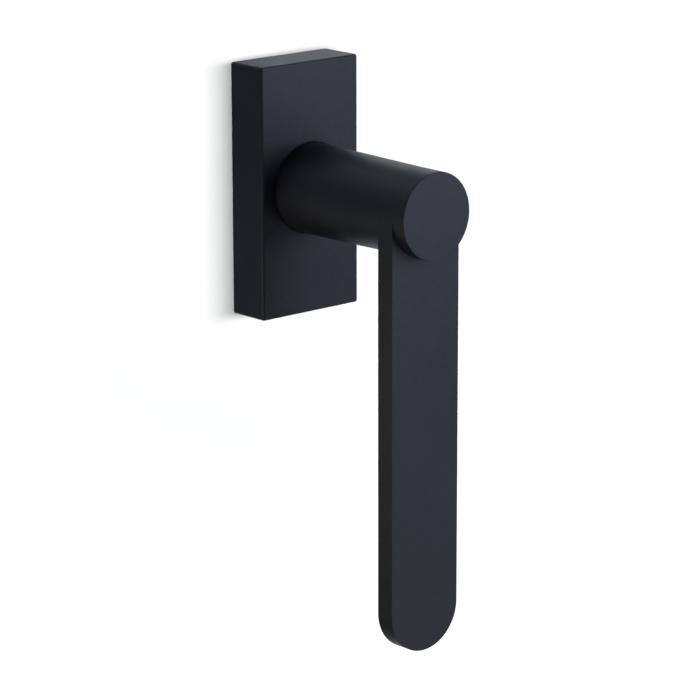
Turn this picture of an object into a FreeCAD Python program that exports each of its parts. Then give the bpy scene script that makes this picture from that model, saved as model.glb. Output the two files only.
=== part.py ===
"""Tilt-and-turn window handle: rectangular rose, round neck and flat paddle lever.

Frame, in millimetres: the origin is the centre of the rose's rear face, on the spindle's
axis. +Z is up, +Y goes into the sash and -Y into the room. The lever hangs straight
down, which is the closed position, and it turns about the Y axis. Every depth below is
a place on Y, so what stands in the room is negative.
"""
import FreeCAD
import Part
import math
import os

# Rose cover: a rectangular shell that snaps over the base plate
ROSE_WIDTH = 34.4
ROSE_HEIGHT = 70.0
ROSE_DEPTH = 12.7
ROSE_WALL = 1.5
ROSE_EDGE = 0.7
COVER_RIM_Y = -0.1
COVER_HOLE_DIAMETER = 25.4

# Base plate: a die casting that is screwed to the sash
BASE_GAP = 0.15
BASE_FRONT_Y = -11.1
BASE_CORNER = 1.0
RELIEF_X = (6.6, 13.9)
RELIEF_Z = (17.2, 27.5)
RELIEF_DEPTH = 8.6

# Neck: a round bar with a slight draft behind the blade, which ends in a flat disc
NECK_ROOT_DIAMETER = 25.1
NECK_DISC_DIAMETER = 23.85
NECK_SHOULDER_Y = -10.95
NECK_DISC_Y = -63.4
NECK_EDGE = 0.3
JOURNAL_DIAMETER = 15.0
JOURNAL_END_Y = -0.3
JOURNAL_FLAT = 6.25
JOURNAL_FLAT_START_Y = -7.6

# Blade: a flat bar, as wide as the neck's disc, with a full-radius lower end
BLADE_WIDTH = NECK_DISC_DIAMETER
BLADE_FRONT_Y = -59.2
BLADE_REAR_Y = -53.6
BLADE_TIP_Z = -121.4
BLADE_EDGE = 0.5
TENON_HALF_WIDTH = 6.0
TENON_HEIGHT = 7.0
JOINT_GAP = 0.02

# Flanged plain bearing between the neck and the base plate
BUSH_FLANGE_DIAMETER = 25.4
BUSH_FLANGE_FRONT_Y = -10.9
BUSH_FLANGE_REAR_Y = -9.9
BUSH_SLEEVE_DIAMETER = 17.0
BUSH_BORE_DIAMETER = 15.06

# Detent: a square cam between two leaf springs, which stops the lever every 90 degrees
POCKET_FRONT_Y = -7.6
POCKET_HALF = 11.0
CAM_FRONT_Y = -7.5
CAM_REAR_Y = -3.3
CAM_ACROSS_FLATS = 18.0
CAM_CORNER_DIAMETER = 20.0
SPRING_INNER_X = 9.05
SPRING_THICKNESS = 0.55
SPRING_HALF_LENGTH = 13.0

# Retaining plate, washer and ring that keep the neck in the base plate
PLATE_FRONT_Y = -3.2
PLATE_REAR_Y = -2.2
PLATE_WIDTH = 26.0
PLATE_HEIGHT = 31.2
PLATE_CORNER = 1.5
PLATE_SCREW_X = 5.0
PLATE_SCREW_Z = 13.3
WASHER_DIAMETER = 20.0
WASHER_FRONT_Y = -2.15
WASHER_REAR_Y = -1.75
GROOVE_DIAMETER = 14.3
GROOVE_FRONT_Y = -1.75
GROOVE_REAR_Y = -0.65
RING_FRONT_Y = -1.7
RING_REAR_Y = -0.7
RING_OUTER_DIAMETER = 18.7

# Spindle: the 7 mm square bar that drives the window's gear
SPINDLE_SIDE = 7.0
SPINDLE_FRONT_Y = -40.0
SPINDLE_REAR_Y = 35.0
SPINDLE_CHAMFER = 0.4
SQUARE_BORE_SIDE = 7.06
SQUARE_BORE_END_Y = -42.0
PIN_DIAMETER = 2.5
PIN_LENGTH = 14.6
PIN_Y = -5.4

# Grub screw in the neck's axis, which locks the blade's tenon
GRUB_DIAMETER = 6.0
GRUB_REAR_Y = -43.6
GRUB_FRONT_Y = -53.5
DOG_DIAMETER = 4.0
DOG_FRONT_Y = -55.8
GRUB_SOCKET = 3.0
GRUB_SOCKET_DEPTH = 4.0

# Fixing screws, 43 mm apart, and the lugs round them that locate the rose in the sash
SCREW_SPACING = 43.0
SCREW_THREAD_DIAMETER = 5.0
SCREW_SHANK_DIAMETER = 4.4
SCREW_HEAD_DIAMETER = 9.2
SCREW_HEAD_FRONT_Y = -11.0
SCREW_HEAD_RIM = 0.3
SCREW_END_Y = 34.0
SCREW_HOLE_DIAMETER = 5.3
LUG_DIAMETER = 10.0
LUG_COLLAR_DEPTH = 0.1
LUG_SEAT_DIAMETER = 9.0
LUG_SEAT_DEPTH = 2.0
LUG_END_Y = 3.0

# Spring clips that hold the cover on the base plate's ends
CLIP_THICKNESS = 0.4
CLIP_WIDTH = 8.0
CLIP_LEG_Z = (29.85, 32.85)
CLIP_BEND_Y = -5.4
CLIP_END_Y = -0.8
CLIP_BUMP_Y = -3.3
CLIP_BUMP_RADIUS = 0.8

ALONG_Y = FreeCAD.Vector(0, 1, 0)
ALONG_Z = FreeCAD.Vector(0, 0, 1)
EPSILON = 1e-6


def block(x0, x1, y0, y1, z0, z1):
    """A rectangular block between two opposite corners."""
    return Part.makeBox(x1 - x0, y1 - y0, z1 - z0, FreeCAD.Vector(x0, y0, z0))


def rod(diameter, y0, y1, x=0.0, z=0.0):
    """A round bar along Y."""
    return Part.makeCylinder(diameter / 2, y1 - y0, FreeCAD.Vector(x, y0, z), ALONG_Y)


def frustum(diameter0, diameter1, y0, y1, x=0.0, z=0.0):
    """A cone along Y with one diameter at y0 and the other at y1."""
    start = FreeCAD.Vector(x, y0, z)
    return Part.makeCone(diameter0 / 2, diameter1 / 2, y1 - y0, start, ALONG_Y)


def rounded_plate(width, height, y0, y1, radius, x=0.0, z=0.0):
    """A block along Y whose four edges along Y are rounded."""
    plate = block(x - width / 2, x + width / 2, y0, y1, z - height / 2, z + height / 2)
    return plate.makeFillet(radius, edges_along_y(plate))


def edges_along_y(shape):
    """The straight edges of a shape that run along Y."""
    return [e for e in shape.Edges if e.BoundBox.YLength > e.BoundBox.DiagonalLength - EPSILON]


def edges_in_plane_y(shape, y):
    """The edges of a shape that lie in one plane across Y."""
    flat = [e for e in shape.Edges if e.BoundBox.YLength < EPSILON]
    return [e for e in flat if abs(e.BoundBox.YMin - y) < 1e-4]


def double_d(diameter, half_flat, y0, y1):
    """A round bar along Y with two flats that face +X and -X."""
    radius = diameter
    return rod(diameter, y0, y1).common(block(-half_flat, half_flat, y0, y1, -radius, radius))


def hexagon(across_flats, y0, y1):
    """A six-sided prism along Y."""
    radius = across_flats / math.sqrt(3)
    turns = [math.radians(60 * i) for i in range(7)]
    corners = [FreeCAD.Vector(radius * math.cos(a), y0, radius * math.sin(a)) for a in turns]
    face = Part.Face(Part.makePolygon(corners))
    return face.extrude(FreeCAD.Vector(0, y1 - y0, 0))


def cross_recess(span, width, y0, y1, x, z):
    """The two crossed slots of a screw head's driver recess."""
    upright = block(x - width / 2, x + width / 2, y0, y1, z - span / 2, z + span / 2)
    level = block(x - span / 2, x + span / 2, y0, y1, z - width / 2, z + width / 2)
    return upright.fuse(level)


def fused(shapes):
    """One solid out of several that meet, without the seams between them."""
    return shapes[0].multiFuse(shapes[1:]).removeSplitter()


def rose_cover():
    """The visible shell of the rose, open at the sash, with a hole for the neck."""
    half_width = ROSE_WIDTH / 2
    half_height = ROSE_HEIGHT / 2
    front = -ROSE_DEPTH
    outer = block(-half_width, half_width, front, COVER_RIM_Y, -half_height, half_height)
    outer_edges = edges_along_y(outer) + edges_in_plane_y(outer, front)
    outer = outer.makeFillet(ROSE_EDGE, outer_edges)
    inner = rounded_plate(
        ROSE_WIDTH - 2 * ROSE_WALL, ROSE_HEIGHT - 2 * ROSE_WALL, front + ROSE_WALL, 0.0, 0.8
    )
    shell = outer.cut(inner).cut(rod(COVER_HOLE_DIAMETER, front - 1, front + ROSE_WALL + 1))
    wall_z = half_height - ROSE_WALL
    for side in (-1, 1):
        shell = shell.cut(clip_notch(side, wall_z))
    return shell


def clip_notch(side, wall_z):
    """The shallow notch inside the cover's end wall that the clip's bump snaps into."""
    depth = 0.6
    half_length = 1.0
    z0, z1 = sorted((side * (wall_z - 0.1), side * (wall_z + depth)))
    half_width = CLIP_WIDTH / 2 + 0.3
    return block(
        -half_width, half_width, CLIP_BUMP_Y - half_length, CLIP_BUMP_Y + half_length, z0, z1
    )


def base_plate():
    """The casting behind the cover, with seats for the bush, detent, screws and clips."""
    width = ROSE_WIDTH - 2 * ROSE_WALL - 2 * BASE_GAP
    height = ROSE_HEIGHT - 2 * ROSE_WALL - 2 * BASE_GAP
    plate = rounded_plate(width, height, BASE_FRONT_Y, 0.0, BASE_CORNER)
    cutters = bush_seat() + [detent_pocket(), plate_recess()]
    for side in (-1, 1):
        cutters += fixing_hole(side * SCREW_SPACING / 2)
        cutters.append(clip_pocket(side, height / 2))
    cutters += relief_pockets() + plate_screw_holes()
    return plate.cut(cutters)


def bush_seat():
    """The counterbore and bore that the flanged bush is pressed into."""
    flange = rod(BUSH_FLANGE_DIAMETER + 0.4, BASE_FRONT_Y - 1, BUSH_FLANGE_REAR_Y)
    sleeve = rod(BUSH_SLEEVE_DIAMETER, BASE_FRONT_Y, POCKET_FRONT_Y + 1)
    return [flange, sleeve]


def detent_pocket():
    """The pocket for the cam and, beside it, the slots that hold the springs' ends."""
    pocket = rounded_plate(2 * POCKET_HALF, 2 * POCKET_HALF, POCKET_FRONT_Y, PLATE_REAR_Y, 2.0)
    slot_end = SPRING_HALF_LENGTH + 0.3
    slot_inner = SPRING_INNER_X - 0.1
    slot_outer = SPRING_INNER_X + SPRING_THICKNESS + 0.05
    slots = []
    for side in (-1, 1):
        x0, x1 = sorted((side * slot_inner, side * slot_outer))
        slots.append(block(x0, x1, POCKET_FRONT_Y, PLATE_REAR_Y, -slot_end, slot_end))
    return fused([pocket] + slots)


def plate_recess():
    """The recess in the base plate's rear for the retaining plate."""
    return rounded_plate(PLATE_WIDTH + 0.2, PLATE_HEIGHT + 0.2, PLATE_FRONT_Y, 1.0, PLATE_CORNER)


def fixing_hole(z):
    """A countersunk hole for one fixing screw, with a seat for its lug at the rear."""
    head_gap = 0.05
    rim_depth = SCREW_HEAD_FRONT_Y + SCREW_HEAD_RIM - BASE_FRONT_Y
    cone_front = SCREW_HEAD_DIAMETER + 2 * (head_gap + rim_depth)
    cone_depth = (cone_front - SCREW_HOLE_DIAMETER) / 2
    return [
        rod(SCREW_HOLE_DIAMETER, BASE_FRONT_Y - 1, 1.0, z=z),
        frustum(cone_front, SCREW_HOLE_DIAMETER, BASE_FRONT_Y, BASE_FRONT_Y + cone_depth, z=z),
        rod(LUG_SEAT_DIAMETER + 0.1, -LUG_SEAT_DEPTH, 1.0, z=z),
        rod(LUG_DIAMETER + 0.2, -LUG_COLLAR_DEPTH, 1.0, z=z),
    ]


def relief_pockets():
    """The four pockets that lighten the casting at its rear."""
    width = RELIEF_X[1] - RELIEF_X[0]
    height = RELIEF_Z[1] - RELIEF_Z[0]
    centre_x = sum(RELIEF_X) / 2
    centre_z = sum(RELIEF_Z) / 2
    signs = [(a, b) for a in (-1, 1) for b in (-1, 1)]
    return [
        rounded_plate(width, height, -RELIEF_DEPTH, 1.0, 1.2, a * centre_x, b * centre_z)
        for a, b in signs
    ]


def plate_screw_places():
    """The centres of the retaining plate's four screws, as (x, z)."""
    return [(a * PLATE_SCREW_X, b * PLATE_SCREW_Z) for a in (-1, 1) for b in (-1, 1)]


def plate_screw_holes():
    """The four tapped holes for the retaining plate's screws."""
    return [rod(2.5, -8.4, PLATE_REAR_Y, x, z) for x, z in plate_screw_places()]


def clip_pocket(side, end_z):
    """The open pocket in one end of the base plate for a cover clip."""
    half_width = CLIP_WIDTH / 2 + 0.3
    floor_z = CLIP_LEG_Z[0] - CLIP_THICKNESS / 2 - 0.05
    z0, z1 = sorted((side * floor_z, side * (end_z + 1)))
    return block(-half_width, half_width, -7.4, 1.0, z0, z1)


def neck_bush():
    """The flanged plain bearing that the neck turns in."""
    flange = rod(BUSH_FLANGE_DIAMETER, BUSH_FLANGE_FRONT_Y, BUSH_FLANGE_REAR_Y)
    sleeve = rod(BUSH_SLEEVE_DIAMETER - 2 * JOINT_GAP, BUSH_FLANGE_REAR_Y, POCKET_FRONT_Y)
    bore = rod(BUSH_BORE_DIAMETER, BUSH_FLANGE_FRONT_Y - 1, POCKET_FRONT_Y + 1)
    return fused([flange, sleeve]).cut(bore)


def retaining_plate():
    """The sheet steel plate that closes the detent pocket."""
    plate = rounded_plate(PLATE_WIDTH, PLATE_HEIGHT, PLATE_FRONT_Y, PLATE_REAR_Y, PLATE_CORNER)
    holes = [rod(JOURNAL_DIAMETER + 0.16, PLATE_FRONT_Y - 1, PLATE_REAR_Y + 1)]
    holes += [rod(2.7, PLATE_FRONT_Y - 1, PLATE_REAR_Y + 1, x, z) for x, z in plate_screw_places()]
    return plate.cut(holes)


def plate_screw(x, z):
    """One pan-head screw of the retaining plate."""
    head = rod(4.4, PLATE_REAR_Y, PLATE_REAR_Y + 1.3, x, z)
    head = head.makeFillet(0.4, edges_in_plane_y(head, PLATE_REAR_Y + 1.3))
    shank = rod(2.46, -8.2, PLATE_REAR_Y, x, z)
    recess = cross_recess(2.4, 0.6, PLATE_REAR_Y + 0.5, PLATE_REAR_Y + 2, x, z)
    return fused([head, shank]).cut(recess)


def retaining_plate_screws():
    """The four identical screws of the retaining plate."""
    return Part.makeCompound([plate_screw(x, z) for x, z in plate_screw_places()])


def detent_spring(side):
    """A straight leaf spring that presses on one flat of the cam."""
    x0, x1 = sorted((side * SPRING_INNER_X, side * (SPRING_INNER_X + SPRING_THICKNESS)))
    return block(x0, x1, CAM_FRONT_Y, CAM_REAR_Y, -SPRING_HALF_LENGTH, SPRING_HALF_LENGTH)


def fixing_screw(z):
    """One countersunk M5 screw through the rose into the sash."""
    cone_start = SCREW_HEAD_FRONT_Y + SCREW_HEAD_RIM
    cone_end = cone_start + (SCREW_HEAD_DIAMETER - SCREW_SHANK_DIAMETER) / 2
    point = 0.8
    rim = rod(SCREW_HEAD_DIAMETER, SCREW_HEAD_FRONT_Y, cone_start, z=z)
    cone = frustum(SCREW_HEAD_DIAMETER, SCREW_SHANK_DIAMETER, cone_start, cone_end, z=z)
    shank = rod(SCREW_SHANK_DIAMETER, cone_end, LUG_END_Y, z=z)
    thread = rod(SCREW_THREAD_DIAMETER, LUG_END_Y, SCREW_END_Y - point, z=z)
    tip = frustum(SCREW_THREAD_DIAMETER, 3.6, SCREW_END_Y - point, SCREW_END_Y, z=z)
    recess = cross_recess(5.0, 1.1, SCREW_HEAD_FRONT_Y - 1, SCREW_HEAD_FRONT_Y + 2.0, 0.0, z)
    return fused([rim, cone, shank, thread, tip]).cut(recess)


def fixing_screws():
    """The two identical fixing screws."""
    return Part.makeCompound([fixing_screw(s * SCREW_SPACING / 2) for s in (-1, 1)])


def support_lug(side):
    """A plastic lug round one fixing screw, which seats in a hole in the sash."""
    z = side * SCREW_SPACING / 2
    seat = rod(LUG_SEAT_DIAMETER, -LUG_SEAT_DEPTH, -LUG_COLLAR_DEPTH, z=z)
    lug = rod(LUG_DIAMETER, -LUG_COLLAR_DEPTH, LUG_END_Y, z=z)
    lug = lug.makeChamfer(0.4, edges_in_plane_y(lug, LUG_END_Y))
    bore = rod(SCREW_HOLE_DIAMETER, -LUG_SEAT_DEPTH - 1, LUG_END_Y + 1, z=z)
    return fused([seat, lug]).cut(bore)


def strip(y0, y1, z, width):
    """A flat length of clip, centred on one height."""
    half = CLIP_THICKNESS / 2
    return block(-width / 2, width / 2, y0, y1, z - half, z + half)


def half_ring(y, z, radius, width, keep):
    """Half a ring of clip strip about an X axis; keep is the block that holds the half wanted."""
    half = CLIP_THICKNESS / 2
    start = FreeCAD.Vector(-width / 2, y, z)
    along_x = FreeCAD.Vector(1, 0, 0)
    outer = Part.makeCylinder(radius + half, width, start, along_x)
    inner = Part.makeCylinder(radius - half, width, start, along_x)
    return outer.cut(inner).common(keep)


def cover_clip(side):
    """A U-shaped spring clip with a bump; side is 1 for the upper end and -1 for the lower."""
    low, high = CLIP_LEG_Z
    middle = (low + high) / 2
    reach = 5.0
    across = (-CLIP_WIDTH, CLIP_WIDTH)
    front_half = block(*across, CLIP_BEND_Y - reach, CLIP_BEND_Y, middle - reach, middle + reach)
    upper_half = block(*across, CLIP_BUMP_Y - reach, CLIP_BUMP_Y + reach, high, high + reach)
    inner_leg = strip(CLIP_BEND_Y, CLIP_END_Y, low, CLIP_WIDTH)
    outer_front = strip(CLIP_BEND_Y, CLIP_BUMP_Y - CLIP_BUMP_RADIUS + 0.2, high, CLIP_WIDTH)
    outer_rear = strip(CLIP_BUMP_Y + CLIP_BUMP_RADIUS - 0.2, CLIP_END_Y, high, CLIP_WIDTH)
    bend = half_ring(CLIP_BEND_Y, middle, (high - low) / 2, CLIP_WIDTH, front_half)
    bump = half_ring(CLIP_BUMP_Y, high, CLIP_BUMP_RADIUS, CLIP_WIDTH, upper_half)
    clip = fused([inner_leg, bend, outer_front, bump, outer_rear])
    if side < 0:
        clip = clip.rotated(FreeCAD.Vector(0, 0, 0), ALONG_Y, 180)
    return clip


def lever_neck():
    """The lever's round neck, with its journal, square bore and seat for the blade."""
    slot_front = BLADE_FRONT_Y - JOINT_GAP
    slot_rear = BLADE_REAR_Y + JOINT_GAP
    head = rod(NECK_DISC_DIAMETER, NECK_DISC_Y, BLADE_REAR_Y)
    head = head.makeFillet(NECK_EDGE, edges_in_plane_y(head, NECK_DISC_Y))
    taper = frustum(NECK_DISC_DIAMETER, NECK_ROOT_DIAMETER, BLADE_REAR_Y, -ROSE_DEPTH)
    root = rod(NECK_ROOT_DIAMETER, -ROSE_DEPTH, NECK_SHOULDER_Y)
    journal = rod(JOURNAL_DIAMETER, NECK_SHOULDER_Y, JOURNAL_FLAT_START_Y)
    flatted = double_d(JOURNAL_DIAMETER, JOURNAL_FLAT, JOURNAL_FLAT_START_Y, JOURNAL_END_Y)
    ring_groove = rod(20.0, GROOVE_FRONT_Y, GROOVE_REAR_Y).cut(
        rod(GROOVE_DIAMETER, GROOVE_FRONT_Y, GROOVE_REAR_Y)
    )
    half_bore = SQUARE_BORE_SIDE / 2
    square_bore = block(-half_bore, half_bore, SQUARE_BORE_END_Y, 1.0, -half_bore, half_bore)
    grub_hole = rod(GRUB_DIAMETER + 2 * JOINT_GAP, slot_rear - 1, SQUARE_BORE_END_Y)
    pin_hole = Part.makeCylinder(
        PIN_DIAMETER / 2 + JOINT_GAP, 20.0, FreeCAD.Vector(0, PIN_Y, -10.0), ALONG_Z
    )
    slot = block(-20.0, 20.0, slot_front, slot_rear, -20.0, 0.0)
    mortise_half = TENON_HALF_WIDTH + JOINT_GAP
    mortise = block(-mortise_half, mortise_half, slot_front, slot_rear, -1.0, TENON_HEIGHT)
    neck = fused([head, taper, root, journal, flatted])
    return neck.cut([ring_groove, square_bore, grub_hole, pin_hole, slot, mortise])


def lever_blade():
    """The flat paddle with its round lower end and the tenon that enters the neck."""
    half = BLADE_WIDTH / 2
    end_z = BLADE_TIP_Z + half
    left_top = FreeCAD.Vector(-half, BLADE_FRONT_Y, 0)
    left_end = FreeCAD.Vector(-half, BLADE_FRONT_Y, end_z)
    tip = FreeCAD.Vector(0, BLADE_FRONT_Y, BLADE_TIP_Z)
    right_end = FreeCAD.Vector(half, BLADE_FRONT_Y, end_z)
    right_top = FreeCAD.Vector(half, BLADE_FRONT_Y, 0)
    outline = Part.Wire([
        Part.makeLine(left_top, left_end),
        Part.Arc(left_end, tip, right_end).toShape(),
        Part.makeLine(right_end, right_top),
        Part.makeLine(right_top, left_top),
    ])
    paddle = Part.Face(outline).extrude(FreeCAD.Vector(0, BLADE_REAR_Y - BLADE_FRONT_Y, 0))
    rims = edges_in_plane_y(paddle, BLADE_FRONT_Y) + edges_in_plane_y(paddle, BLADE_REAR_Y)
    paddle = paddle.makeFillet(BLADE_EDGE, [e for e in rims if e.BoundBox.ZMin < -EPSILON])
    tenon = block(
        -TENON_HALF_WIDTH, TENON_HALF_WIDTH, BLADE_FRONT_Y, BLADE_REAR_Y, 0.0,
        TENON_HEIGHT - JOINT_GAP,
    )
    dog_hole = rod(DOG_DIAMETER + 0.2, DOG_FRONT_Y - 0.2, BLADE_REAR_Y + 1)
    return fused([paddle, tenon]).cut(dog_hole)


def blade_locking_screw():
    """The dog-point grub screw that locks the blade's tenon in the neck."""
    body = rod(GRUB_DIAMETER, GRUB_FRONT_Y, GRUB_REAR_Y)
    body = body.makeChamfer(0.5, edges_in_plane_y(body, GRUB_REAR_Y))
    dog = rod(DOG_DIAMETER, DOG_FRONT_Y, GRUB_FRONT_Y)
    socket = hexagon(GRUB_SOCKET, GRUB_REAR_Y - GRUB_SOCKET_DEPTH, GRUB_REAR_Y + 1)
    return fused([body, dog]).cut(socket)


def spindle():
    """The square bar, chamfered all round, with a cross hole for its pin."""
    half = SPINDLE_SIDE / 2
    bar = block(-half, half, SPINDLE_FRONT_Y, SPINDLE_REAR_Y, -half, half)
    bar = bar.makeChamfer(SPINDLE_CHAMFER, bar.Edges)
    hole = Part.makeCylinder(
        PIN_DIAMETER / 2 + JOINT_GAP, 10.0, FreeCAD.Vector(0, PIN_Y, -5.0), ALONG_Z
    )
    return bar.cut(hole)


def spindle_pin():
    """The cross pin that holds the spindle in the neck; the cam keeps it in place."""
    start = FreeCAD.Vector(0, PIN_Y, -PIN_LENGTH / 2)
    return Part.makeCylinder(PIN_DIAMETER / 2, PIN_LENGTH, start, ALONG_Z)


def detent_cam():
    """The square cam with cut corners that turns with the neck."""
    half = CAM_ACROSS_FLATS / 2
    square = block(-half, half, CAM_FRONT_Y, CAM_REAR_Y, -half, half)
    cam = square.common(rod(CAM_CORNER_DIAMETER, CAM_FRONT_Y, CAM_REAR_Y))
    bore_gap = 0.03
    bore = double_d(
        JOURNAL_DIAMETER + 2 * bore_gap, JOURNAL_FLAT + bore_gap, CAM_FRONT_Y - 1, CAM_REAR_Y + 1
    )
    return cam.cut(bore)


def thrust_washer():
    """The thin washer between the retaining plate and the retaining ring."""
    disc = rod(WASHER_DIAMETER, WASHER_FRONT_Y, WASHER_REAR_Y)
    return disc.cut(rod(JOURNAL_DIAMETER + 0.3, WASHER_FRONT_Y - 1, WASHER_REAR_Y + 1))


def retaining_ring():
    """The open spring ring in the journal's groove, with an eye at each end."""
    gap_angle = math.radians(16)
    eye_centre = 9.3
    eye_radius = 1.5
    hole_diameter = 1.5
    ring = rod(RING_OUTER_DIAMETER, RING_FRONT_Y, RING_REAR_Y)
    eyes = []
    holes = []
    for side in (-1, 1):
        x = side * eye_centre * math.sin(gap_angle)
        z = eye_centre * math.cos(gap_angle)
        eyes.append(rod(2 * eye_radius, RING_FRONT_Y, RING_REAR_Y, x, z))
        holes.append(rod(hole_diameter, RING_FRONT_Y - 1, RING_REAR_Y + 1, x, z))
    bore = rod(GROOVE_DIAMETER + 2 * JOINT_GAP, RING_FRONT_Y - 1, RING_REAR_Y + 1)
    gap = block(-1.0, 1.0, RING_FRONT_Y - 1, RING_REAR_Y + 1, 0.0, RING_OUTER_DIAMETER)
    return fused([ring] + eyes).cut([bore, gap] + holes)


SUB_PARTS = {
    "rose_cover": rose_cover,
    "base_plate": base_plate,
    "neck_bush": neck_bush,
    "retaining_plate": retaining_plate,
    "retaining_plate_screws": retaining_plate_screws,
    "detent_spring_left": lambda: detent_spring(-1),
    "detent_spring_right": lambda: detent_spring(1),
    "fixing_screws": fixing_screws,
    "support_lug_upper": lambda: support_lug(1),
    "support_lug_lower": lambda: support_lug(-1),
    "cover_clip_upper": lambda: cover_clip(1),
    "cover_clip_lower": lambda: cover_clip(-1),
    "lever_neck": lever_neck,
    "lever_blade": lever_blade,
    "blade_locking_screw": blade_locking_screw,
    "spindle": spindle,
    "spindle_pin": spindle_pin,
    "detent_cam": detent_cam,
    "thrust_washer": thrust_washer,
    "retaining_ring": retaining_ring,
}


def main():
    """Build every sub-part, test it and write its STEP file."""
    os.makedirs("parts", exist_ok=True)
    for name, build in SUB_PARTS.items():
        shape = build()
        if not shape.isValid() or not shape.Solids:
            raise ValueError(f"{name} is not a valid solid")
        shape.exportStep(f"parts/{name}.step")
        box = shape.BoundBox
        size = f"{box.XLength:.2f} x {box.YLength:.2f} x {box.ZLength:.2f}"
        print(f"{name}: {len(shape.Solids)} solid(s), {size} mm, {shape.Volume:.1f} mm3")


if __name__ == "__main__":
    main()
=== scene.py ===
"""Tilt-and-turn window handle: rose, round neck and flat lever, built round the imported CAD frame.

The cover, base casting, retaining plate, fixing screws, neck, blade and spindle are modelled again,
with soft edges and real threads. The other parts keep their CAD shape. Every part gets a finish.
"""
import logging
import math
from dataclasses import dataclass
from enum import Enum
from typing import Callable, Iterable, Sequence

import bmesh
import bpy
from bmesh.types import BMEdge, BMesh, BMVert
from mathutils import Matrix, Vector


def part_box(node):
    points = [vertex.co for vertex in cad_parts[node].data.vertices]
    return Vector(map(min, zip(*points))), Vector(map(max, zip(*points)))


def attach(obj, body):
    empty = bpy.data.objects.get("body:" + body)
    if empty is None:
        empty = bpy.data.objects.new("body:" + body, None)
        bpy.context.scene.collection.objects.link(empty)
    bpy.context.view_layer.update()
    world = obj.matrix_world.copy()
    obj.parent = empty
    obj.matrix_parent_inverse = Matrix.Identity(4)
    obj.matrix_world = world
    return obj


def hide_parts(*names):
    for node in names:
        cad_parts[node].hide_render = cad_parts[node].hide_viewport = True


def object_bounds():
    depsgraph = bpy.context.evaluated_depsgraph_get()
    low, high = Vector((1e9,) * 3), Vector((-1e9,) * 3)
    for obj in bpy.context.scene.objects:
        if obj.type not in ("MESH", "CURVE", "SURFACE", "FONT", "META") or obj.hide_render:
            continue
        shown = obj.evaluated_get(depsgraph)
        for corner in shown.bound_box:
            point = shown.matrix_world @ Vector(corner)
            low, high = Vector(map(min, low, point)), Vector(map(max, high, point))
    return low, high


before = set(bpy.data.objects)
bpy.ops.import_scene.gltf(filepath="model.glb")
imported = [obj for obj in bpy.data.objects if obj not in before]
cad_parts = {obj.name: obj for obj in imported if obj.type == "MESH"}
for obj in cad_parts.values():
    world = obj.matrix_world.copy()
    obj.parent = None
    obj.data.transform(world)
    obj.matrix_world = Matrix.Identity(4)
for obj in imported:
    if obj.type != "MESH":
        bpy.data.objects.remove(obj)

MM = 0.001
CAD_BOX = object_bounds()
EDGE_LAYER = "edge"
MERGE = 1e-7
NEAR = 2e-6
# Angles between faces: nearly one plane, nearly a right angle, and a corner of the square bar.
COPLANAR = math.radians(1.0)
SQUARE = 1.0
CORNER = math.radians(40)
# The least Y of a unit normal that counts as facing along Y.
ACROSS = 0.999
# The colour sockets of a Mix node: its share, first and second colour in, and its result out.
MIX_SHARE, MIX_FIRST, MIX_SECOND, MIX_RESULT = 0, 6, 7, 2
LOG = logging.getLogger("window_handle")

Colour = tuple[float, float, float]
Point = tuple[float, float]


class Body(Enum):
    """The two rigid bodies of the handle."""

    ROSE = "rose"
    HANDLE = "handle"


class Slot(Enum):
    """The record's material slots that modelled pieces use."""

    COAT = "coat_black"
    CASTING = "zinc_casting"
    SHEET = "zinc_plated_sheet"
    PLATED = "zinc_plated_steel"


# ---------------------------------------------------------------- mesh work


def fresh_mesh() -> BMesh:
    """Return an empty bmesh that can store where its rounded edges are."""
    bm = bmesh.new()
    bm.verts.layers.float.new(EDGE_LAYER)
    return bm


def radius_of(vert: BMVert) -> float:
    """Return a vertex's distance from the Y axis."""
    return math.hypot(vert.co.x, vert.co.z)


def edges_where(bm: BMesh, test: Callable[[BMVert], bool], open_only: bool = False) -> list[BMEdge]:
    """Find edges by their ends.

    Args:
        bm: The mesh to search.
        test: Says whether a vertex belongs.
        open_only: Keep only edges with fewer than two faces.

    Returns:
        The edges whose two ends both pass the test.
    """
    edges = [e for e in bm.edges if all(test(v) for v in e.verts)]
    return [e for e in edges if len(e.link_faces) < 2] if open_only else edges


def at_y(y: float) -> Callable[[BMVert], bool]:
    """Return a test for vertices in one plane across Y."""
    return lambda vert: abs(vert.co.y - y) < NEAR


def ring_at(bm: BMesh, y: float, radius: float) -> list[BMEdge]:
    """Return the edges of one circle about the Y axis."""
    level = at_y(y)
    return edges_where(bm, lambda vert: level(vert) and abs(radius_of(vert) - radius) < NEAR)


def along_y(edges: Iterable[BMEdge]) -> list[BMEdge]:
    """Return the edges whose ends are at different places on Y."""
    return [e for e in edges if abs(e.verts[0].co.y - e.verts[1].co.y) > NEAR]


def turned(bm: BMesh, profile: Sequence[Point], steps: int) -> None:
    """Spin a profile of (radius, y) points a full turn about the Y axis.

    Args:
        bm: The mesh that receives the surface.
        profile: The points in order along the surface.
        steps: How many facets the full turn has.
    """
    verts = [bm.verts.new((radius, y, 0.0)) for radius, y in profile]
    edges = [bm.edges.new(pair) for pair in zip(verts, verts[1:])]
    bmesh.ops.spin(
        bm, geom=verts + edges, cent=(0, 0, 0), axis=(0, 1, 0), dvec=(0, 0, 0),
        angle=math.tau, steps=steps, use_merge=True,
    )
    bmesh.ops.remove_doubles(bm, verts=bm.verts, dist=MERGE)


def outline_loop(bm: BMesh, outline: Sequence[Point], y: float) -> list[BMEdge]:
    """Lay a closed loop of edges through (x, z) points in a plane across Y."""
    verts = [bm.verts.new((x, y, z)) for x, z in outline]
    return [bm.edges.new(pair) for pair in zip(verts, verts[1:] + verts[:1])]


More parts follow.
